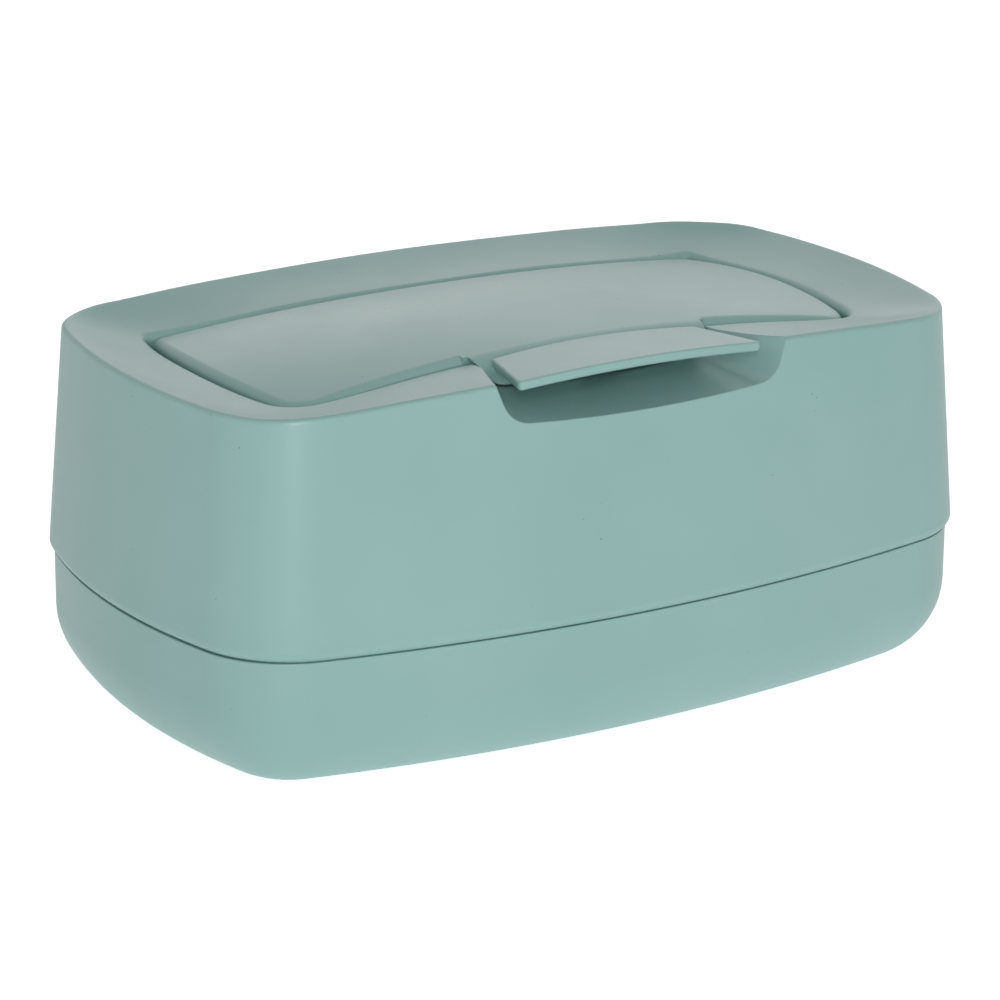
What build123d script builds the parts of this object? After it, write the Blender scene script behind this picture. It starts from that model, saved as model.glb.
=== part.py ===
from build123d import *
import os
from dataclasses import dataclass, replace
from math import comb, hypot, sqrt
from numpy import array, outer
from numpy.linalg import lstsq

# Wipes box with a hinged, crowned lid in a bowl-shaped rim.
# Frame: X along the length, -Y is the front with the finger scoop, +Z up.
# The origin is on the standing plane, under the middle of the box. Millimetres.

os.makedirs("parts", exist_ok=True)

# Body outline, at its widest level and at the top edge
GIRTH_LENGTH = 240.0
GIRTH_DEPTH = 151.7
GIRTH_Z = 41.6
GIRTH_LONG_R = 434.0
GIRTH_END_R = 181.6
GIRTH_CORNER_R = 29.5
TOP_LENGTH = 229.4
TOP_DEPTH = 137.6
TOP_Z = 102.6
TOP_LONG_R = 737.0
TOP_END_R = 188.0
TOP_CORNER_R = 26.9

# Heights of the rim's outer edge
EDGE_CENTRE_Z = 103.85
EDGE_FRONT_Z = 104.93
EDGE_BACK_Z = 102.05
EDGE_SIDE_Z = 101.15
EDGE_TWIST = 1.62
EDGE_FLATTEN = 0.44
EDGE_R = 1.2

# Lid opening, where the rim starts to roll down, and its heights
OPENING_LENGTH = 187.4
OPENING_DEPTH = 87.2
OPENING_Y = 1.5
OPENING_END_R = 175.0
OPENING_FRONT_CORNER_R = 12.5
OPENING_BACK_CORNER_R = 4.1
OPENING_CENTRE_Z = 102.15
OPENING_FRONT_Z = 102.75
OPENING_BACK_Z = 98.6
OPENING_SIDE_Z = 96.8
OPENING_TWIST = 1.5
ROLL_R = 2.3

# Walls
WALL = 2.4
RIM_THICKNESS = 2.4
WELL_WALL = 2.0

# Seam between the tub and the housing
SEAM_Z = 38.9
SEAM_GAP = 0.3
HOUSING_EDGE_R = 2.6
TUB_INSET = 1.84
TUB_END_INSET = 1.2
TONGUE_HEIGHT = 4.5
TONGUE_GAP = 0.3
BEAD_PROUD = 0.2
BEAD_HEIGHT = 1.2
BEAD_LENGTH = 22.0
BEAD_SPACING = 110.0

# Tub and feet
TUB_WALL = 2.8
TUB_BOTTOM_R = 23.0
FLOOR = 2.8
FOOT_R = 8.0
FOOT_THICKNESS = 1.8
FOOT_PROUD = 0.6
FOOT_SPACING_X = 150.0
FOOT_SPACING_Y = 72.0
FOOT_GAP = 0.1

# Lid well: a ledge for the seal, a trough behind it for the lid's rear edge
LEDGE_Z = 89.0
LEDGE_THICKNESS = 2.2
LEDGE_WIDTH = 9.0
SEAT_BACK_CORNER_R = 12.0

# Finger scoop: its profile at the front wall, and where the lid's nose closes it
SCOOP_FRONT_Y = -72.0
SCOOP_FRONT_HALF = 45.6
SCOOP_FRONT_CORNER_HALF = 41.5
SCOOP_FRONT_Z = 91.9
SCOOP_FRONT_SAG = 1.3
SCOOP_FRONT_R = 9.0
SCOOP_REAR_Y = -46.5
SCOOP_REAR_HALF = 36.8
SCOOP_REAR_CORNER_HALF = 32.4
SCOOP_REAR_Z = 94.7
SCOOP_REAR_SAG = 1.6
SCOOP_REAR_R = 6.5
SCOOP_TOP_Z = 104.0
SCOOP_END_Y = -37.0

# Lid: crown, edge and nose
LID_GAP = 0.8
LID_END_GAP = 1.6
LID_THICKNESS = 2.2
LID_BACK_CORNER_R = 3.4
LID_EDGE_R = 2.6
LID_PEAK_Z = 105.0
LID_PEAK_Y = -20.0
LID_CURVE_R = 315.0
LID_SIDE_FALL = 7.0
LID_FALL_TAPER = 0.055
LID_SKIRT_Z = 91.0
NOSE_GAP = 0.6
NOSE_ROLL_R = 8.0
NOTCH_WIDTH = 11.0
NOTCH_HEIGHT = 3.0

# Tab on the lid's nose
TAB_FRONT_Y = -67.4
TAB_FRONT_HALF = 36.8
TAB_REAR_HALF = 31.0
TAB_REAR_Y = -43.8
TAB_END_Y = -41.5
TAB_FRONT_BULGE_R = 737.0
TAB_FRONT_Z = 105.2
TAB_SLOPE = 0.046
TAB_CROWN_R = 430.0
TAB_THICKNESS = 2.6
TAB_CORNER_R = 1.2
TAB_TOP_R = 0.6
TAB_LOW_R = 0.9

# Hinge at the lid's rear corners
HINGE_Y = 30.5
HINGE_Z = 90.2
BARREL_R = 11.7
BARREL_GAP = 0.6
PIN_R = 1.5
PIN_LENGTH = 12.5
PIN_GAP = 0.05
PIN_END_GAP = 0.3
KNUCKLE_R = 2.9
KNUCKLE_LENGTH = 9.0
KNUCKLE_END = 1.5
PIN_BOSS_R = 4.2
PIN_BOSS_LENGTH = 5.5

# Lid liner, its posts, and the seal
LINER_THICKNESS = 2.0
LINER_GAP = 0.3
SEAL_INSET = 4.8
SEAL_WIDTH = 3.6
SEAL_HEIGHT = 2.4
SEAL_SEAT = 1.2
SEAL_EDGE_R = 0.7
SEAL_GAP = 0.3
POST_R = 2.6
POST_GAP = 0.1
POST_SPACING_X = 120.0
POST_SPACING_Y = 40.0
POST_Y = -6.0

# Weight plate that lies on the wipes
PLATE_LENGTH = 176.0
PLATE_DEPTH = 92.0
PLATE_CORNER_R = 20.0
PLATE_HEIGHT = 9.0
PLATE_WALL = 1.8
PLATE_GAP = 0.3
PLATE_EDGE_R = 1.5
COVER_THICKNESS = 1.6
REBATE = 0.9
COVER_GAP = 0.1
SLOT_LENGTH = 74.0
SLOT_WIDTH = 24.0
BAR_LENGTH = 120.0
BAR_WIDTH = 15.0
BAR_HEIGHT = 5.0
BAR_CHAMFER = 0.5
BAR_Y = 28.0
BAR_GAP = 0.2
FENCE_WALL = 1.2
FENCE_HEIGHT = 3.0

# Working values of the construction
BEYOND = 6.0
LEAST_R = 0.5
HIGH_Z = 125.0
PATCH_ACROSS = 8
PATCH_BACK = 6


@dataclass
class Outline:
    """A plan outline, the same left and right, with bulged sides and round corners."""

    half_length: float
    half_depth: float
    long_r: float
    end_r: float
    front_corner_r: float
    back_corner_r: float
    centre_y: float = 0.0

    def inset(self, distance):
        """The parallel outline that lies this far inside."""
        return replace(
            self,
            half_length=self.half_length - distance,
            half_depth=self.half_depth - distance,
            long_r=self.long_r - distance if self.long_r else 0.0,
            end_r=self.end_r - distance,
            front_corner_r=max(self.front_corner_r - distance, LEAST_R),
            back_corner_r=max(self.back_corner_r - distance, LEAST_R),
        )

    def corner(self, radius):
        """Where a corner arc leaves the long side, turns and meets the end, and its centre."""
        end_x = self.half_length - self.end_r
        if self.long_r:
            long_y = self.half_depth - self.long_r
            reach_long = self.long_r - radius
            reach_end = self.end_r - radius
            apart = hypot(end_x, long_y)
            along = (reach_long**2 - reach_end**2 + apart**2) / (2 * apart)
            across = sqrt(reach_long**2 - along**2)
            way_x, way_y = end_x / apart, -long_y / apart
            centre = Vector(way_x * along + way_y * across, long_y + way_y * along - way_x * across)
            leaves = Vector(0, long_y) + (centre - Vector(0, long_y)).normalized() * self.long_r
        else:
            centre_y = self.half_depth - radius
            centre = Vector(end_x + sqrt((self.end_r - radius) ** 2 - centre_y**2), centre_y)
            leaves = Vector(centre.X, self.half_depth)
        meets = Vector(end_x, 0) + (centre - Vector(end_x, 0)).normalized() * self.end_r
        turn = ((leaves - centre).normalized() + (meets - centre).normalized()).normalized()
        return leaves, centre + turn * radius, meets, centre

    def sketch(self):
        """The outline as a face."""
        front = self.corner(self.front_corner_r)
        back = self.corner(self.back_corner_r)
        middle = Vector(0, self.half_depth)
        tip = Vector(self.half_length, 0)

        def at(point, side_x, side_y):
            return Vector(point.X * side_x, self.centre_y + point.Y * side_y)

        with BuildSketch() as outline:
            with BuildLine():
                for side_y, corner in ((-1, front), (1, back)):
                    leaves, turns, meets, _ = corner
                    if self.long_r:
                        ThreePointArc(at(leaves, -1, side_y), at(middle, 1, side_y), at(leaves, 1, side_y))
                    else:
                        Line(at(leaves, -1, side_y), at(leaves, 1, side_y))
                    for side_x in (-1, 1):
                        ThreePointArc(*[at(point, side_x, side_y) for point in (leaves, turns, meets)])
                for side_x in (-1, 1):
                    ThreePointArc(at(front[2], side_x, -1), at(tip, side_x, 1), at(back[2], side_x, 1))
            make_face()
        return outline.sketch

    def depth_inside(self, x, y):
        """How far a point lies inside the outline, negative outside it."""
        x = abs(x)
        y = y - self.centre_y
        radius = self.back_corner_r if y > 0 else self.front_corner_r
        y = abs(y)
        leaves, _, meets, centre = self.corner(radius)
        off_x, off_y = x - centre.X, y - centre.Y
        past_end = (meets.X - centre.X) * off_y - (meets.Y - centre.Y) * off_x > 0
        short_of_long = off_x * (leaves.Y - centre.Y) - off_y * (leaves.X - centre.X) > 0
        if past_end and short_of_long:
            return radius - hypot(off_x, off_y)
        end_depth = self.end_r - hypot(x - self.half_length + self.end_r, y)
        if self.long_r:
            long_depth = self.long_r - hypot(x, y - self.half_depth + self.long_r)
        else:
            long_depth = self.half_depth - y
        return min(long_depth, end_depth)


def part_way(low, high, share):
    """A value part of the way from low to high, or beyond them."""
    return low + (high - low) * share


GIRTH = Outline(
    GIRTH_LENGTH / 2, GIRTH_DEPTH / 2, GIRTH_LONG_R, GIRTH_END_R, GIRTH_CORNER_R, GIRTH_CORNER_R
)
TOP = Outline(TOP_LENGTH / 2, TOP_DEPTH / 2, TOP_LONG_R, TOP_END_R, TOP_CORNER_R, TOP_CORNER_R)
OPENING = Outline(
    OPENING_LENGTH / 2,
    OPENING_DEPTH / 2,
    0.0,
    OPENING_END_R,
    OPENING_FRONT_CORNER_R,
    OPENING_BACK_CORNER_R,
    OPENING_Y,
)
WELL = OPENING.inset(ROLL_R)
LID = replace(
    WELL.inset(LID_GAP),
    half_length=WELL.half_length - LID_END_GAP,
    back_corner_r=LID_BACK_CORNER_R,
)
TUB = replace(GIRTH.inset(TUB_INSET), half_length=GIRTH.half_length - TUB_END_INSET)


def wall_outline(z):
    """The outer wall's outline at a height, on its straight taper."""
    share = (z - GIRTH_Z) / (TOP_Z - GIRTH_Z)
    corner_r = part_way(GIRTH_CORNER_R, TOP_CORNER_R, share)
    return Outline(
        part_way(GIRTH.half_length, TOP.half_length, share),
        part_way(GIRTH.half_depth, TOP.half_depth, share),
        part_way(GIRTH_LONG_R, TOP_LONG_R, share),
        part_way(GIRTH_END_R, TOP_END_R, share),
        corner_r,
        corner_r,
    )


def edge_height(x, y):
    """Height of the rim's outer edge."""
    u = x / TOP.half_length
    v = y / TOP.half_depth
    tilt = (EDGE_BACK_Z - EDGE_FRONT_Z) / 2
    bow = (EDGE_BACK_Z + EDGE_FRONT_Z) / 2 - EDGE_CENTRE_Z
    fall = (EDGE_SIDE_Z - EDGE_CENTRE_Z) * u**2 * (1 + EDGE_FLATTEN * (1 - u**2))
    return EDGE_CENTRE_Z + tilt * v + bow * v**2 + fall + EDGE_TWIST * u**2 * v


def opening_height(x, y):
    """Height of the rim where its roll into the lid well starts."""
    u = x / OPENING.half_length
    v = (y - OPENING.centre_y) / OPENING.half_depth
    tilt = (OPENING_BACK_Z - OPENING_FRONT_Z) / 2
    bow = (OPENING_BACK_Z + OPENING_FRONT_Z) / 2 - OPENING_CENTRE_Z
    fall = (OPENING_SIDE_Z - OPENING_CENTRE_Z) * u**2
    return OPENING_CENTRE_Z + tilt * v + bow * v**2 + fall + OPENING_TWIST * u**2 * v


def rim_height(x, y):
    """Height of the bowl-shaped rim between the opening and the outer edge."""
    from_opening = -OPENING.depth_inside(x, y)
    from_edge = TOP.depth_inside(x, y)
    share = from_opening / (from_opening + from_edge)
    return part_way(opening_height(x, y), edge_height(x, y), share)


def on_rim(x, y):
    """Whether a place lies on the rim, its roll included."""
    return OPENING.depth_inside(x, y) <= ROLL_R and TOP.depth_inside(x, y) >= -EDGE_R


def lid_height(x, y):
    """Height of the lid's crown."""
    u = x / LID.half_length
    arch = LID_PEAK_Z - (y - LID_PEAK_Y) ** 2 / (2 * LID_CURVE_R)
    return arch - (LID_SIDE_FALL - LID_FALL_TAPER * y) * u**2


def anywhere(x, y):
    """A height that counts at every place."""
    return True


def bernstein(degree, t):
    """The weights of a Bezier curve's points at a parameter."""
    return [comb(degree, k) * t**k * (1 - t) ** (degree - k) for k in range(degree + 1)]


def smooth_face(height, wanted, half_length, half_depth, drop=0.0):
    """One Bezier patch through the heights wanted, lowered by a distance."""
    steps = 48
    shares = [step / steps for step in range(steps + 1)]
    weights = []
    heights = []
    for share_x in shares:
        x = part_way(-half_length, half_length, share_x)
        for share_y in shares:
            y = part_way(-half_depth, half_depth, share_y)
            if wanted(x, y):
                across = bernstein(PATCH_ACROSS, share_x)
                weights.append(outer(across, bernstein(PATCH_BACK, share_y)).ravel())
                heights.append(height(x, y))
    level = sum(heights) / len(heights)
    found = lstsq(array(weights), array(heights) - level, rcond=1e-6)[0] + level - drop
    rows = []
    for across in range(PATCH_ACROSS + 1):
        x = part_way(-half_length, half_length, across / PATCH_ACROSS)
        ys = [part_way(-half_depth, half_depth, back / PATCH_BACK) for back in range(PATCH_BACK + 1)]
        first = across * (PATCH_BACK + 1)
        rows.append([Vector(x, y, float(found[first + back])) for back, y in enumerate(ys)])
    return Face.make_bezier_surface(rows)


def above_rim(drop=0.0):
    """The space above the rim, lowered by a distance."""
    face = smooth_face(rim_height, on_rim, GIRTH.half_length, GIRTH.half_depth, drop)
    return extrude(face, amount=HIGH_Z, dir=(0, 0, 1))


def above_lid(drop=0.0):
    """The space above the lid's crown, lowered by a distance."""
    face = smooth_face(lid_height, anywhere, WELL.half_length, -TAB_FRONT_Y, drop)
    return extrude(face, amount=HIGH_Z, dir=(0, 0, 1))


def tapered_walls(distance, low_z):
    """The box's tapered form above a height, its walls moved inwards by a distance."""
    with BuildPart() as body:
        for z in (low_z, HIGH_Z):
            with BuildSketch(Plane.XY.offset(z)):
                add(wall_outline(z).inset(distance).sketch())
        loft(ruled=True)
    return body.part


def prism(outline, low_z, high_z):
    """An outline's straight-sided solid between two heights."""
    with BuildPart() as block:
        with BuildSketch(Plane.XY.offset(low_z)):
            add(outline.sketch())
        extrude(amount=high_z - low_z)
    return block.part


def scoop_profile(half, corner_half, z, sag, radius, grow):
    """The scoop seen from the front, open upwards, its walls moved outwards by a distance."""
    high = SCOOP_TOP_Z + 2 * BEYOND
    slope = (half - corner_half) / (SCOOP_TOP_Z - z - sag)
    high_half = corner_half + slope * (high - z - sag)
    with BuildSketch() as profile:
        with BuildLine():
            ThreePointArc((-corner_half, z + sag), (0, z), (corner_half, z + sag))
            Polyline((corner_half, z + sag), (high_half, high), (-high_half, high), (-corner_half, z + sag))
        make_face()
        fillet(profile.vertices().group_by(Axis.Y)[0], radius)
        if grow:
            offset(amount=grow, kind=Kind.INTERSECTION)
    return profile.sketch


def scoop_rear_profile(grow):
    """The scoop's profile where the lid's nose stands in it."""
    return scoop_profile(
        SCOOP_REAR_HALF, SCOOP_REAR_CORNER_HALF, SCOOP_REAR_Z, SCOOP_REAR_SAG, SCOOP_REAR_R, grow
    )


def front_plane(y):
    """A plane that faces the front at a depth, with its Y upwards."""
    return Plane(origin=(0, y, 0), x_dir=(1, 0, 0), z_dir=(0, -1, 0))


def scoop_space(grow=0.0):
    """The finger scoop's space, or the same with its walls."""
    front = scoop_profile(
        SCOOP_FRONT_HALF, SCOOP_FRONT_CORNER_HALF, SCOOP_FRONT_Z, SCOOP_FRONT_SAG, SCOOP_FRONT_R, grow
    )
    rear = scoop_rear_profile(grow)
    with BuildPart() as space:
        with BuildSketch(front_plane(SCOOP_FRONT_Y)):
            add(front)
        with BuildSketch(front_plane(SCOOP_REAR_Y)):
            add(rear)
        loft(ruled=True)
        with BuildSketch(front_plane(SCOOP_END_Y)):
            add(rear)
        extrude(amount=SCOOP_END_Y - SCOOP_REAR_Y)
    return space.part


def hinge_rod(radius, near_x, far_x):
    """A rod along the hinge axis at each end of the lid."""
    with BuildPart() as rods:
        for side in (-1, 1):
            with BuildSketch(Plane.YZ.offset(side * near_x)):
                with Locations((HINGE_Y, HINGE_Z)):
                    Circle(radius)
            extrude(amount=side * (far_x - near_x))
    return rods.part


def end_x_at(outline, y):
    """How far the outline's end reaches at a depth."""
    return outline.half_length - outline.end_r + sqrt(outline.end_r**2 - (y - outline.centre_y) ** 2)


WELL_END_X = end_x_at(WELL, HINGE_Y)
LID_END_X = end_x_at(LID, HINGE_Y)
TROUGH_FRONT_Y = HINGE_Y - KNUCKLE_R - BARREL_GAP
KNUCKLE_INNER_X = LID_END_X - KNUCKLE_LENGTH
PIN_INNER_X = KNUCKLE_INNER_X + KNUCKLE_END + PIN_END_GAP
TROUGH_Z = HINGE_Z - BARREL_R - BARREL_GAP
LEDGE_LOW_Z = LEDGE_Z - LEDGE_THICKNESS
TROUGH_LOW_Z = TROUGH_Z - LEDGE_THICKNESS
NOSE_OPEN_HALF = SCOOP_REAR_CORNER_HALF - SCOOP_REAR_R
LID_FRONT_Y = LID.centre_y - LID.half_depth
LINER_Z = LEDGE_Z + SEAL_GAP + SEAL_HEIGHT - SEAL_SEAT
PLATE_Z = FOOT_PROUD + FLOOR + PLATE_GAP


def seat(distance, low_z, high_z):
    """The well's solid in front of the trough, moved inwards by a distance."""
    with BuildPart() as block:
        with BuildSketch(Plane.XY.offset(low_z)) as outline:
            add(WELL.inset(distance).sketch())
            with Locations((0, TROUGH_FRONT_Y - distance)):
                Rectangle(GIRTH_LENGTH, GIRTH_DEPTH, align=(Align.CENTER, Align.MAX), mode=Mode.INTERSECT)
            fillet(outline.vertices().group_by(Axis.Y)[-1], SEAT_BACK_CORNER_R - distance)
        extrude(amount=high_z - low_z)
    return block.part


def seal_ring(low_z, high_z):
    """The seal's ring over the ledge, between two heights."""
    with BuildPart() as ring:
        add(seat(SEAL_INSET, low_z, high_z))
        add(seat(SEAL_INSET + SEAL_WIDTH, low_z, high_z), mode=Mode.SUBTRACT)
    return ring.part


def behind(outline, front_y, low_z, high_z):
    """An outline's straight-sided solid, only the part behind a depth."""
    with BuildPart() as block:
        with BuildSketch(Plane.XY.offset(low_z)):
            add(outline.sketch())
            with Locations((0, front_y)):
                Rectangle(GIRTH_LENGTH, GIRTH_DEPTH, align=(Align.CENTER, Align.MIN), mode=Mode.INTERSECT)
        extrude(amount=high_z - low_z)
    return block.part


def behind_barrel(radius):
    """The space behind the hinge axis and outside a barrel about it."""
    with BuildPart() as space:
        with BuildSketch(Plane.YZ):
            with Locations((HINGE_Y, LEDGE_LOW_Z)):
                Rectangle(GIRTH_DEPTH, HIGH_Z, align=Align.MIN)
            with Locations((HINGE_Y, HINGE_Z)):
                Circle(radius, mode=Mode.SUBTRACT)
        extrude(amount=WELL.half_length, both=True)
    return space.part


def nose_block(profile, front_y, back_y):
    """A scoop profile's solid between two depths."""
    with BuildPart() as block:
        with BuildSketch(front_plane(front_y)):
            add(profile)
        extrude(amount=front_y - back_y)
    return block.part


def box_between(low, high):
    """A box between two corners."""
    with BuildPart() as block:
        with Locations(low):
            Box(high[0] - low[0], high[1] - low[1], high[2] - low[2], align=Align.MIN)
    return block.part


def crowned(outline, inset, low_z):
    """The lid's solid under its crown, with the nose, its walls and top moved inwards."""
    nose_y = SCOOP_REAR_Y + inset
    front_y = outline.centre_y - outline.half_depth
    with BuildPart() as body:
        add(prism(outline, low_z, HIGH_Z))
        nose_half = SCOOP_REAR_HALF - inset
        add(box_between((-nose_half, nose_y, low_z), (nose_half, front_y + BEYOND, HIGH_Z)))
        add(above_lid(inset), mode=Mode.SUBTRACT)
        crown_edges = body.faces().filter_by(GeomType.BEZIER)[0].edges()
        if not inset:
            fillet([edge for edge in crown_edges if edge.center().Y > front_y - LID_GAP], LID_EDGE_R)
            crown_edges = body.faces().filter_by(GeomType.BEZIER)[0].edges()
        fillet(crown_edges.sort_by(lambda edge: edge.center().Y)[0], NOSE_ROLL_R - inset)
        with BuildPart(mode=Mode.PRIVATE) as beside_nose:
            add(box_between((-GIRTH_LENGTH, nose_y - BEYOND, low_z), (GIRTH_LENGTH, front_y, HIGH_Z)))
            nose = nose_block(scoop_rear_profile(-NOSE_GAP - inset), nose_y - BEYOND, front_y)
            add(nose, mode=Mode.SUBTRACT)
        add(beside_nose.part, mode=Mode.SUBTRACT)
    return body.part


# Inside of the tub
with BuildPart() as tub_hollow:
    add(prism(TUB.inset(TUB_WALL), FOOT_PROUD + FLOOR, HIGH_Z))
    fillet(tub_hollow.edges().group_by(Axis.Z)[0], TUB_BOTTOM_R - TUB_WALL)

# Tub: a rounded lower shell with a tongue that stands in the housing
with BuildPart() as base_tub:
    add(prism(TUB, FOOT_PROUD, SEAM_Z))
    fillet(base_tub.edges().group_by(Axis.Z)[0], TUB_BOTTOM_R)
    tongue_top_z = SEAM_Z + TONGUE_HEIGHT
    tongue = wall_outline(tongue_top_z).inset(WALL + TONGUE_GAP)
    add(prism(tongue, SEAM_Z - BEYOND, tongue_top_z))
    for side_x in (-1, 1):
        for side_y in (-1, 1):
            with BuildSketch(Plane.XY.offset(tongue_top_z - 2 * BEAD_HEIGHT)):
                add(tongue.inset(-BEAD_PROUD).sketch())
                with Locations((side_x * BEAD_SPACING / 2, side_y * GIRTH.half_depth)):
                    Rectangle(BEAD_LENGTH, GIRTH.half_depth, mode=Mode.INTERSECT)
            extrude(amount=BEAD_HEIGHT)
    add(tub_hollow.part, mode=Mode.SUBTRACT)
    with BuildSketch(Plane.XY.offset(FOOT_PROUD)):
        with GridLocations(FOOT_SPACING_X, FOOT_SPACING_Y, 2, 2):
            Circle(FOOT_R + FOOT_GAP)
    extrude(amount=FOOT_THICKNESS - FOOT_PROUD, mode=Mode.SUBTRACT)
base_tub.part.label = "base_tub"
export_step(base_tub.part, "parts/base_tub.step")

# Foot pads in the tub's underside
with BuildPart() as foot_pads:
    with GridLocations(FOOT_SPACING_X, FOOT_SPACING_Y, 2, 2):
        Cylinder(FOOT_R, FOOT_THICKNESS, align=(Align.CENTER, Align.CENTER, Align.MIN))
    fillet(foot_pads.edges().group_by(Axis.Z)[0], FOOT_PROUD / 2)
foot_pads.part.label = "foot_pads"
export_step(foot_pads.part, "parts/foot_pads.step")

# Hollow of the housing, round the lid well, the scoop and the pin bosses
with BuildPart() as housing_hollow:
    add(tapered_walls(WALL, SEAM_Z))
    add(above_rim(RIM_THICKNESS), mode=Mode.SUBTRACT)
    grown_well = WELL.inset(-WELL_WALL)
    add(prism(grown_well, LEDGE_LOW_Z, HIGH_Z), mode=Mode.SUBTRACT)
    add(behind(grown_well, TROUGH_FRONT_Y - WELL_WALL, TROUGH_LOW_Z, HIGH_Z), mode=Mode.SUBTRACT)
    add(scoop_space(WALL), mode=Mode.SUBTRACT)
    add(hinge_rod(PIN_BOSS_R, WELL_END_X, WELL_END_X + PIN_BOSS_LENGTH), mode=Mode.SUBTRACT)

# Housing: tapered walls, a bowl-shaped rim, the lid well and the finger scoop
with BuildPart() as housing:
    add(tapered_walls(0.0, SEAM_Z + SEAM_GAP))
    fillet(housing.edges().group_by(Axis.Z)[0], HOUSING_EDGE_R)
    add(above_rim(), mode=Mode.SUBTRACT)
    rim = housing.faces().sort_by(Axis.Z)[-1]
    fillet(rim.outer_wire().edges(), EDGE_R)
    add(housing_hollow.part, mode=Mode.SUBTRACT)
    add(prism(WELL, LEDGE_Z, HIGH_Z), mode=Mode.SUBTRACT)
    add(behind(WELL, TROUGH_FRONT_Y, TROUGH_Z, HIGH_Z), mode=Mode.SUBTRACT)
    rim = [face for face in housing.faces() if face.geom_type == GeomType.BEZIER and face.inner_wires()][-1]
    fillet(rim.inner_wires()[0].edges(), ROLL_R)
    add(seat(LEDGE_WIDTH, LEDGE_LOW_Z - BEYOND, HIGH_Z), mode=Mode.SUBTRACT)
    add(scoop_space(), mode=Mode.SUBTRACT)
    add(hinge_rod(PIN_R, WELL_END_X - WELL_WALL, WELL_END_X + PIN_BOSS_LENGTH + BEYOND), mode=Mode.SUBTRACT)
housing.part.label = "housing"
export_step(housing.part, "parts/housing.step")

# Hinge pins
for side, name in ((-1, "hinge_pin_left"), (1, "hinge_pin_right")):
    with BuildPart() as pin:
        with BuildSketch(Plane.YZ.offset(side * PIN_INNER_X)):
            with Locations((HINGE_Y, HINGE_Z)):
                Circle(PIN_R)
        extrude(amount=side * PIN_LENGTH)
    pin.part.label = name
    export_step(pin.part, f"parts/{name}.step")

# Hollow of the lid, round its knuckles and the liner's posts
with BuildPart() as lid_hollow:
    add(crowned(LID.inset(LID_THICKNESS), LID_THICKNESS, LID_SKIRT_Z - BEYOND))
    nose_inner_y = SCOOP_REAR_Y + LID_THICKNESS
    nose_low = (-NOSE_OPEN_HALF, nose_inner_y, LID_SKIRT_Z)
    add(box_between(nose_low, (NOSE_OPEN_HALF, LID_FRONT_Y, SCOOP_REAR_Z + BEYOND)))
    add(behind_barrel(BARREL_R - LID_THICKNESS), mode=Mode.SUBTRACT)
    for side in (-1, 1):
        with BuildSketch(Plane.YZ.offset(side * KNUCKLE_INNER_X)):
            with Locations((HINGE_Y, HINGE_Z)):
                Circle(KNUCKLE_R)
                Rectangle(2 * KNUCKLE_R, 2 * BARREL_R, align=(Align.CENTER, Align.MIN))
        extrude(amount=side * KNUCKLE_LENGTH, mode=Mode.SUBTRACT)
    with BuildSketch(Plane.XY.offset(LINER_Z)):
        with Locations((0, POST_Y)):
            with GridLocations(POST_SPACING_X, POST_SPACING_Y, 2, 2):
                Circle(POST_R)
    extrude(amount=HIGH_Z - LINER_Z, mode=Mode.SUBTRACT)

# Tab: a crowned plate that the fingers lift
with BuildPart() as tab:
    with BuildSketch(Plane.XY.offset(LID_SKIRT_Z)):
        with BuildLine():
            front_y = TAB_FRONT_Y + TAB_FRONT_HALF**2 / (2 * TAB_FRONT_BULGE_R)
            ThreePointArc((-TAB_FRONT_HALF, front_y), (0, TAB_FRONT_Y), (TAB_FRONT_HALF, front_y))
            Line((TAB_FRONT_HALF, front_y), (TAB_REAR_HALF, TAB_REAR_Y))
            ThreePointArc((TAB_REAR_HALF, TAB_REAR_Y), (0, TAB_END_Y), (-TAB_REAR_HALF, TAB_REAR_Y))
            Line((-TAB_REAR_HALF, TAB_REAR_Y), (-TAB_FRONT_HALF, front_y))
        tab_outline = make_face()
        fillet(tab_outline.vertices().group_by(Axis.Y)[0], TAB_CORNER_R)
    extrude(amount=HIGH_Z - LID_SKIRT_Z)
    back = Vector(0, 1, -TAB_SLOPE) * (TAB_REAR_Y - TAB_FRONT_Y)
    section_plane = Plane(origin=Vector(0, TAB_FRONT_Y, TAB_FRONT_Z) - back, x_dir=(1, 0, 0), z_dir=-back)
    with BuildSketch(section_plane):
        with Locations((0, -TAB_CROWN_R)):
            Circle(TAB_CROWN_R)
            Circle(TAB_CROWN_R - TAB_THICKNESS, mode=Mode.SUBTRACT)
        Rectangle(GIRTH_LENGTH, 2 * BEYOND, mode=Mode.INTERSECT)
    extrude(amount=-GIRTH_DEPTH, mode=Mode.INTERSECT)
    tab_faces = tab.faces().sort_by(Axis.Z)
    for face, radius in ((tab_faces[-1], TAB_TOP_R), (tab_faces[0], TAB_LOW_R)):
        fillet([edge for edge in face.edges() if edge.center().Y < TAB_REAR_Y], radius)

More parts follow.
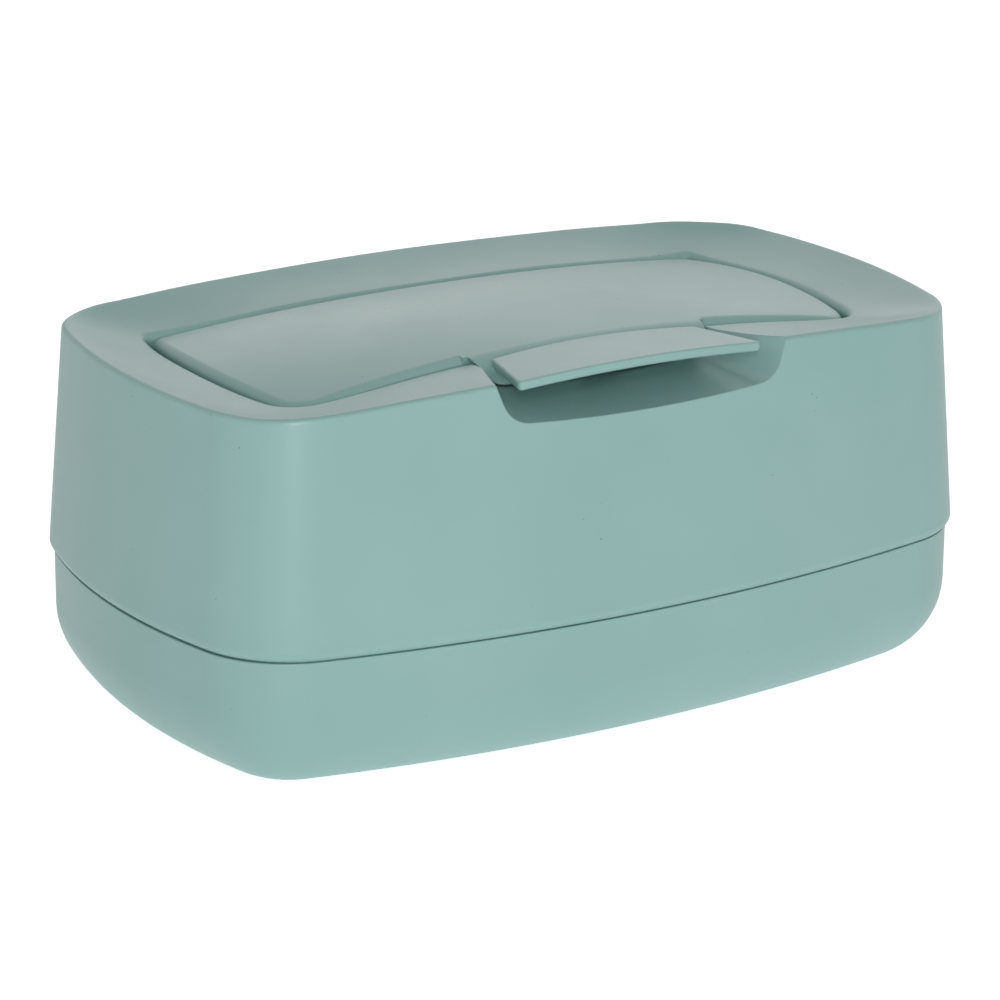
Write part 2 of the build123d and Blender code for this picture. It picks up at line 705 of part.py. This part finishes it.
# Lid: a crowned panel with skirts, a nose in the scoop, knuckles and the tab
with BuildPart() as lid_panel:
    add(crowned(LID, 0.0, LID_SKIRT_Z))
    add(behind_barrel(BARREL_R), mode=Mode.SUBTRACT)
    add(hinge_rod(KNUCKLE_R, KNUCKLE_INNER_X, end_x_at(LID, HINGE_Y + KNUCKLE_R)))
    add(lid_hollow.part, mode=Mode.SUBTRACT)
    add(tab.part)
    notch_low = (-NOTCH_WIDTH / 2, SCOOP_REAR_Y - NOSE_GAP, LID_SKIRT_Z)
    notch_z = SCOOP_REAR_Z + NOSE_GAP + NOTCH_HEIGHT
    add(box_between(notch_low, (NOTCH_WIDTH / 2, LID_FRONT_Y - NOSE_GAP, notch_z)), mode=Mode.SUBTRACT)
    add(hinge_rod(PIN_R + PIN_GAP, PIN_INNER_X - PIN_END_GAP, WELL_END_X), mode=Mode.SUBTRACT)
lid_panel.part.label = "lid_panel"
export_step(lid_panel.part, "parts/lid_panel.step")

# Liner under the lid, with a groove for the seal
with BuildPart() as lid_liner:
    add(seat(LID_END_GAP + LID_THICKNESS + LINER_GAP, LINER_Z, LINER_Z + LINER_THICKNESS))
    add(seal_ring(LINER_Z, LINER_Z + SEAL_SEAT), mode=Mode.SUBTRACT)
    with BuildSketch(Plane.XY.offset(LINER_Z)):
        with Locations((0, POST_Y)):
            with GridLocations(POST_SPACING_X, POST_SPACING_Y, 2, 2):
                Circle(POST_R + POST_GAP)
    extrude(amount=LINER_THICKNESS, mode=Mode.SUBTRACT)
lid_liner.part.label = "lid_liner"
export_step(lid_liner.part, "parts/lid_liner.step")

# Seal ring that closes on the ledge
with BuildPart() as lid_seal:
    add(seal_ring(LEDGE_Z + SEAL_GAP, LINER_Z + SEAL_SEAT))
    fillet(lid_seal.edges().group_by(Axis.Z)[0], SEAL_EDGE_R)
lid_seal.part.label = "lid_seal"
export_step(lid_seal.part, "parts/lid_seal.step")

# Weight plate: a tray with a drawing slot
with BuildPart() as weight_tray:
    with BuildSketch(Plane.XY.offset(PLATE_Z)):
        RectangleRounded(PLATE_LENGTH, PLATE_DEPTH, PLATE_CORNER_R)
    extrude(amount=PLATE_HEIGHT)
    fillet(weight_tray.edges().group_by(Axis.Z)[0], PLATE_EDGE_R)
    with BuildSketch(Plane.XY.offset(PLATE_Z + PLATE_WALL)):
        inner_length = PLATE_LENGTH - 2 * PLATE_WALL
        inner_depth = PLATE_DEPTH - 2 * PLATE_WALL
        RectangleRounded(inner_length, inner_depth, PLATE_CORNER_R - PLATE_WALL)
        SlotOverall(SLOT_LENGTH + 2 * PLATE_WALL, SLOT_WIDTH + 2 * PLATE_WALL, mode=Mode.SUBTRACT)
    extrude(amount=PLATE_HEIGHT, mode=Mode.SUBTRACT)
    with BuildSketch(Plane.XY.offset(PLATE_Z + PLATE_HEIGHT - COVER_THICKNESS)):
        RectangleRounded(PLATE_LENGTH - 2 * REBATE, PLATE_DEPTH - 2 * REBATE, PLATE_CORNER_R - REBATE)
        SlotOverall(SLOT_LENGTH + 2 * REBATE, SLOT_WIDTH + 2 * REBATE, mode=Mode.SUBTRACT)
    extrude(amount=COVER_THICKNESS, mode=Mode.SUBTRACT)
    with BuildSketch(Plane.XY.offset(PLATE_Z + PLATE_WALL)):
        with GridLocations(0, 2 * BAR_Y, 1, 2):
            fence = 2 * (BAR_GAP + FENCE_WALL)
            Rectangle(BAR_LENGTH + fence, BAR_WIDTH + fence)
            Rectangle(BAR_LENGTH + 2 * BAR_GAP, BAR_WIDTH + 2 * BAR_GAP, mode=Mode.SUBTRACT)
    extrude(amount=FENCE_HEIGHT)
    with BuildSketch(Plane.XY.offset(PLATE_Z)):
        SlotOverall(SLOT_LENGTH, SLOT_WIDTH)
    extrude(amount=PLATE_HEIGHT, mode=Mode.SUBTRACT)
weight_tray.part.label = "weight_tray"
export_step(weight_tray.part, "parts/weight_tray.step")

# Cover of the weight plate, in the tray's rebate
with BuildPart() as weight_cover:
    inset = REBATE + COVER_GAP
    with BuildSketch(Plane.XY.offset(PLATE_Z + PLATE_HEIGHT - COVER_THICKNESS)):
        RectangleRounded(PLATE_LENGTH - 2 * inset, PLATE_DEPTH - 2 * inset, PLATE_CORNER_R - inset)
        SlotOverall(SLOT_LENGTH + 2 * inset, SLOT_WIDTH + 2 * inset, mode=Mode.SUBTRACT)
    extrude(amount=COVER_THICKNESS)
weight_cover.part.label = "weight_cover"
export_step(weight_cover.part, "parts/weight_cover.step")

# Steel bars in the weight plate
for side, name in ((-1, "weight_bar_front"), (1, "weight_bar_rear")):
    with BuildPart() as bar:
        with Locations((0, side * BAR_Y, PLATE_Z + PLATE_WALL)):
            Box(BAR_LENGTH, BAR_WIDTH, BAR_HEIGHT, align=(Align.CENTER, Align.CENTER, Align.MIN))
        chamfer(bar.edges().filter_by(Axis.X), BAR_CHAMFER)
    bar.part.label = name
    export_step(bar.part, f"parts/{name}.step")
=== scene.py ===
from math import cos, radians, sin

import bpy
from mathutils import Matrix, Vector

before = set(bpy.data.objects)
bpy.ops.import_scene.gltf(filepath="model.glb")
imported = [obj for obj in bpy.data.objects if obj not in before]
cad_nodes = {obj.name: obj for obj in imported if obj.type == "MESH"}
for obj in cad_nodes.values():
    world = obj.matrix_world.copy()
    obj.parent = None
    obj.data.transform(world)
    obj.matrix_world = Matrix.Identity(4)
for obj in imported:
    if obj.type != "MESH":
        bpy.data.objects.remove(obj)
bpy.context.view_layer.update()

# Camera, solved from the box's outline in the photograph
VIEW_AZIMUTH = radians(-31.39)
VIEW_ELEVATION = radians(18.07)
VIEW_ROLL = radians(0.41)
VIEW_DISTANCE = 1.085
VIEW_TARGET = Vector((0.0, 0.0, 0.0506))
LENS = 144.2
SENSOR_WIDTH = 36.0
SHIFT_X = -0.0054
SHIFT_Y = -0.0100

# Colours, as linear values
SAGE = (0.262, 0.445, 0.425)
SAGE_PALE = (0.285, 0.468, 0.448)
PAD_GREY = (0.155, 0.215, 0.205)
MILK = (0.74, 0.745, 0.72)
MILK_PALE = (0.77, 0.775, 0.755)
SEAL_WHITE = (0.62, 0.63, 0.61)
STEEL = (0.56, 0.56, 0.55)
ZINC = (0.47, 0.48, 0.48)
DUST = (0.10, 0.16, 0.15)
FLOOR_WHITE = (0.82, 0.82, 0.82)
WHITE = (1.0, 1.0, 1.0)

# Roughness of the plastics, from the most handled places to the least
SHELL_ROUGH = (0.30, 0.38)
LINER_ROUGH = (0.42, 0.50)
PLATE_ROUGH = (0.40, 0.48)

# Plastic's patterns: scales in cells per metre, spans in the pattern's own value, turns in radians,
# depths in metres
CLOUD_SCALE = 14.0
CLOUD_SPAN = (0.35, 0.65)
SPECK_SCALE = 210.0
SPECK_EDGE = (0.035, 0.06)
SPECK_PATCH_SCALE = 55.0
SPECK_PATCH_SPAN = (0.57, 0.62)
SPECK_DARKNESS = 0.75
HANDLING_SCALE = 26.0
HANDLING_SPAN = (0.3, 0.7)
RUB_SCALE = 9.0
RUB_STRETCH = (6.0, 30.0, 60.0)
RUB_TURN = (0.0, 0.12, 0.25)
RUB_SPAN = (0.66, 0.74)
RUB_POLISH = 0.06
GRAIN_SCALE = 2400.0
GRAIN_STRENGTH = 0.06
GRAIN_DEPTH = 0.00008
WAVE_SCALE = 17.0
WAVE_STRENGTH = 0.05
WAVE_DEPTH = 0.0012

# How far the moulded edges look rounded
EDGE_BREAK = 0.0006
EDGE_SAMPLES = 4

# Rubber with a faint bloom
RUBBER_ROUGH = 0.72
BLOOM_SCALE = 120.0
BLOOM_SPAN = (0.4, 0.7)
BLOOM_PALER = 1.15
BLOOM_STRENGTH = 0.15
BLOOM_DEPTH = 0.0001

# Drawn steel: its lines run along the box's length
LINE_STRETCH = (8.0, 900.0, 900.0)
LINE_SPAN = (0.35, 0.65)
LINE_SHADE = 0.82
LINE_ROUGH_SPAN = (0.3, 0.7)
STEEL_ROUGH = (0.28, 0.42)

# The floor, and the levels of its glow and of the world
FLOOR_HALF = 3.0
FLOOR_GLOW = 0.42
FLOOR_GLOW_SEEN = 0.75
WORLD_AMBIENT = 0.33
WORLD_REFLECTED = 0.9
WORLD_SEEN = 1.0

# Places of the colour sockets on a mix node
MIX_UNDER = 6
MIX_OVER = 7
MIX_RESULT = 2


def node_maker(owner):
    """Empties the node tree of a material or world and gives the function that adds its nodes."""
    owner.use_nodes = True
    tree = owner.node_tree
    tree.nodes.clear()

    def make(kind, inputs=None, **settings):
        """Adds a node. Each of its inputs is a value or another node's output."""
        node = tree.nodes.new(kind)
        for name, value in settings.items():
            setattr(node, name, value)
        for socket, value in (inputs or {}).items():
            if isinstance(value, bpy.types.NodeSocket):
                tree.links.new(value, node.inputs[socket])
            else:
                node.inputs[socket].default_value = value
        return node

    return make


def new_material(name):
    """An empty node material and its node maker."""
    material = bpy.data.materials.new(name)
    return material, node_maker(material)


def opaque(colour):
    """A colour with full alpha."""
    return (*colour, 1.0)


def noise(make, place, scale, detail=2.0, roughness=0.5):
    """A noise value at each place."""
    node = make(
        "ShaderNodeTexNoise",
        {"Vector": place, "Scale": scale, "Detail": detail, "Roughness": roughness},
    )
    return node.outputs["Fac"]


def stretched(make, place, scale, rotation=(0.0, 0.0, 0.0)):
    """Places scaled and turned, so that a pattern on them is drawn out."""
    node = make("ShaderNodeMapping", {"Vector": place, "Scale": scale, "Rotation": rotation})
    return node.outputs["Vector"]


def remap(make, value, span, target):
    """A value mapped from a span to a target range, and kept inside it."""
    low, high = span
    to_low, to_high = target
    node = make(
        "ShaderNodeMapRange",
        {"Value": value, "From Min": low, "From Max": high, "To Min": to_low, "To Max": to_high},
        clamp=True,
    )
    return node.outputs["Result"]


def combine(make, operation, first, second):
    """Two values put together by a sum or a product."""
    node = make("ShaderNodeMath", {0: first, 1: second}, operation=operation)
    return node.outputs["Value"]


def ramp(make, value, span, colours):
    """Two colours, blended over a span of a value."""
    node = make("ShaderNodeValToRGB", {"Fac": value})
    for element, position, colour in zip(node.color_ramp.elements, span, colours):
        element.position = position
        element.color = opaque(colour)
    return node.outputs["Color"]


def bumped(make, normal, height, strength, depth):
    """A surface normal, bumped by a height."""
    node = make(
        "ShaderNodeBump",
        {"Normal": normal, "Height": height, "Strength": strength, "Distance": depth},
    )
    return node.outputs["Normal"]


def dusted(make, place, colour, darkness):
    """A colour with specks of dust: tiny dots, kept only where a second noise allows them."""
    cells = make("ShaderNodeTexVoronoi", {"Vector": place, "Scale": SPECK_SCALE, "Randomness": 1.0})
    dots = remap(make, cells.outputs["Distance"], SPECK_EDGE, (1.0, 0.0))
    patches = noise(make, place, SPECK_PATCH_SCALE, detail=1.0)
    allowed = remap(make, patches, SPECK_PATCH_SPAN, (0.0, darkness))
    dust = combine(make, "MULTIPLY", dots, allowed)
    mix = make(
        "ShaderNodeMix",
        {"Factor": dust, MIX_UNDER: colour, MIX_OVER: opaque(DUST)},
        data_type="RGBA",
    )
    return mix.outputs[MIX_RESULT]


def handled(make, place, rough):
    """Roughness that varies with handling, with rub marks drawn out along the box."""
    touch = noise(make, place, HANDLING_SCALE, detail=4.0, roughness=0.6)
    drawn_out = stretched(make, place, RUB_STRETCH, RUB_TURN)
    streaks = noise(make, drawn_out, RUB_SCALE, detail=6.0, roughness=0.7)
    touched = remap(make, touch, HANDLING_SPAN, rough)
    rubbed = remap(make, streaks, RUB_SPAN, (0.0, -RUB_POLISH))
    return combine(make, "ADD", touched, rubbed)


def grained(make, place):
    """Softly broken edges, with the mould's spark grain and a slow unevenness of the walls."""
    edges = make("ShaderNodeBevel", {"Radius": EDGE_BREAK}, samples=EDGE_SAMPLES).outputs["Normal"]
    grain = bumped(make, edges, noise(make, place, GRAIN_SCALE), GRAIN_STRENGTH, GRAIN_DEPTH)
    waves = noise(make, place, WAVE_SCALE, detail=1.0)
    return bumped(make, grain, waves, WAVE_STRENGTH, WAVE_DEPTH)


def moulded_plastic(name, colour, pale, rough, specks=SPECK_DARKNESS):
    """Satin moulded plastic: cloudy colour, spark grain, faint rub marks and specks of dust."""
    material, make = new_material(name)
    place = make("ShaderNodeTexCoord").outputs["Object"]
    clouds = noise(make, place, CLOUD_SCALE, detail=3.0, roughness=0.55)
    shader = make(
        "ShaderNodeBsdfPrincipled",
        {
            "Base Color": dusted(make, place, ramp(make, clouds, CLOUD_SPAN, (colour, pale)), specks),
            "Roughness": handled(make, place, rough),
            "Normal": grained(make, place),
            "IOR": 1.5,
            "Specular IOR Level": 0.5,
        },
    )
    make("ShaderNodeOutputMaterial", {"Surface": shader.outputs["BSDF"]})
    return material


def soft_rubber(name, colour):
    """Matte rubber with a faint bloom."""
    material, make = new_material(name)
    place = make("ShaderNodeTexCoord").outputs["Object"]
    bloom = noise(make, place, BLOOM_SCALE, detail=4.0, roughness=0.65)
    paler = tuple(min(1.0, channel * BLOOM_PALER) for channel in colour)
    skin = make("ShaderNodeBump", {"Height": bloom, "Strength": BLOOM_STRENGTH, "Distance": BLOOM_DEPTH})
    shader = make(
        "ShaderNodeBsdfPrincipled",
        {
            "Base Color": ramp(make, bloom, BLOOM_SPAN, (colour, paler)),
            "Roughness": RUBBER_ROUGH,
            "Normal": skin.outputs["Normal"],
            "Specular IOR Level": 0.35,
        },
    )
    make("ShaderNodeOutputMaterial", {"Surface": shader.outputs["BSDF"]})
    return material


def drawn_steel(name, colour):
    """Drawn steel with fine lines along the box's length."""
    material, make = new_material(name)
    place = make("ShaderNodeTexCoord").outputs["Object"]
    lines = noise(make, stretched(make, place, LINE_STRETCH), scale=1.0, detail=5.0, roughness=0.7)
    darker = tuple(channel * LINE_SHADE for channel in colour)
    shader = make(
        "ShaderNodeBsdfPrincipled",
        {
            "Base Color": ramp(make, lines, LINE_SPAN, (darker, colour)),
            "Metallic": 1.0,
            "Roughness": remap(make, lines, LINE_ROUGH_SPAN, STEEL_ROUGH),
        },
    )
    make("ShaderNodeOutputMaterial", {"Surface": shader.outputs["BSDF"]})
    return material


def studio_floor():
    """A pale floor that shows white to the camera and keeps the box's shadow."""
    material, make = new_material("studio_floor")
    rays = make("ShaderNodeLightPath")
    level = remap(make, rays.outputs["Is Camera Ray"], (0.0, 1.0), (FLOOR_GLOW, FLOOR_GLOW_SEEN))
    matte = make("ShaderNodeBsdfDiffuse", {"Color": opaque(FLOOR_WHITE)})
    glow = make("ShaderNodeEmission", {"Color": opaque(WHITE), "Strength": level})
    both = make("ShaderNodeAddShader", {0: matte.outputs["BSDF"], 1: glow.outputs["Emission"]})
    make("ShaderNodeOutputMaterial", {"Surface": both.outputs["Shader"]})
    return material


def white_world():
    """A world with a level of its own for the camera, for reflections and for the rest."""
    world = bpy.data.worlds.new("studio")
    make = node_maker(world)
    rays = make("ShaderNodeLightPath")
    level = WORLD_AMBIENT
    for kind, strength in (
        ("Is Glossy Ray", WORLD_REFLECTED),
        ("Is Transmission Ray", WORLD_SEEN),
        ("Is Camera Ray", WORLD_SEEN),
    ):
        level = remap(make, rays.outputs[kind], (0.0, 1.0), (level, strength))
    background = make("ShaderNodeBackground", {"Color": opaque(WHITE), "Strength": level})
    make("ShaderNodeOutputWorld", {"Surface": background.outputs["Background"]})
    bpy.context.scene.world = world


def direction(azimuth, elevation):
    """The way from the box towards an azimuth, seen from the front, and an elevation."""
    return Vector((sin(azimuth) * cos(elevation), -cos(azimuth) * cos(elevation), sin(elevation)))


def softbox(name, azimuth, elevation, distance, width, height, watts):
    """An area lamp that faces the box, placed by its direction in degrees and its distance."""
    lamp = bpy.data.lights.new(name, "AREA")
    lamp.shape = "RECTANGLE"
    lamp.size = width
    lamp.size_y = height
    lamp.energy = watts
    lamp_object = bpy.data.objects.new(name, lamp)
    bpy.context.scene.collection.objects.link(lamp_object)
    way = direction(radians(azimuth), radians(elevation))
    lamp_object.location = VIEW_TARGET + way * distance
    lamp_object.rotation_euler = way.to_track_quat("Z", "Y").to_euler()


def dress(material, *names):
    """Gives CAD nodes their material."""
    for name in names:
        mesh = cad_nodes[name].data
        mesh.materials.clear()
        mesh.materials.append(material)


def floor_plane():
    """The floor under the box."""
    mesh = bpy.data.meshes.new("floor")
    corners = [(x * FLOOR_HALF, y * FLOOR_HALF, 0.0) for x, y in ((-1, -1), (1, -1), (1, 1), (-1, 1))]
    mesh.from_pydata(corners, [], [(0, 1, 2, 3)])
    mesh.materials.append(studio_floor())
    plane = bpy.data.objects.new("floor", mesh)
    bpy.context.scene.collection.objects.link(plane)


def photo_camera():
    """The camera at the photograph's viewing angle."""
    back = direction(VIEW_AZIMUTH, VIEW_ELEVATION)
    level_right = Vector((cos(VIEW_AZIMUTH), sin(VIEW_AZIMUTH), 0.0))
    level_up = back.cross(level_right)
    right = level_right * cos(VIEW_ROLL) + level_up * sin(VIEW_ROLL)
    up = level_up * cos(VIEW_ROLL) - level_right * sin(VIEW_ROLL)
    data = bpy.data.cameras.new("camera")
    data.lens = LENS
    data.sensor_width = SENSOR_WIDTH
    data.shift_x = SHIFT_X
    data.shift_y = SHIFT_Y
    camera = bpy.data.objects.new("camera", data)
    bpy.context.scene.collection.objects.link(camera)
    turn = Matrix((right, up, back)).transposed().to_4x4()
    camera.matrix_world = Matrix.Translation(VIEW_TARGET + back * VIEW_DISTANCE) @ turn
    bpy.context.scene.camera = camera


dress(moulded_plastic("shell_sage", SAGE, SAGE_PALE, SHELL_ROUGH), "housing", "lid_panel")
dress(moulded_plastic("tub_sage", SAGE, SAGE_PALE, SHELL_ROUGH), "base_tub")
dress(moulded_plastic("liner_milk", MILK, MILK_PALE, LINER_ROUGH, specks=0.0), "lid_liner")
plate_milk = moulded_plastic("plate_milk", MILK, MILK_PALE, PLATE_ROUGH, specks=0.0)
dress(plate_milk, "weight_tray", "weight_cover")
dress(soft_rubber("foot_rubber", PAD_GREY), "foot_pads")
dress(soft_rubber("seal_white", SEAL_WHITE), "lid_seal")
dress(drawn_steel("pin_steel", STEEL), "hinge_pin_left", "hinge_pin_right")
dress(drawn_steel("bar_zinc", ZINC), "weight_bar_front", "weight_bar_rear")

floor_plane()
white_world()
softbox("key", azimuth=-30, elevation=15, distance=2.0, width=0.4, height=1.2, watts=15.0)
softbox("fill", azimuth=20, elevation=25, distance=2.2, width=1.6, height=1.2, watts=4.0)
softbox("back", azimuth=136, elevation=24, distance=1.6, width=1.8, height=0.9, watts=2.6)
photo_camera()
bpy.context.scene.view_settings.view_transform = "Standard"
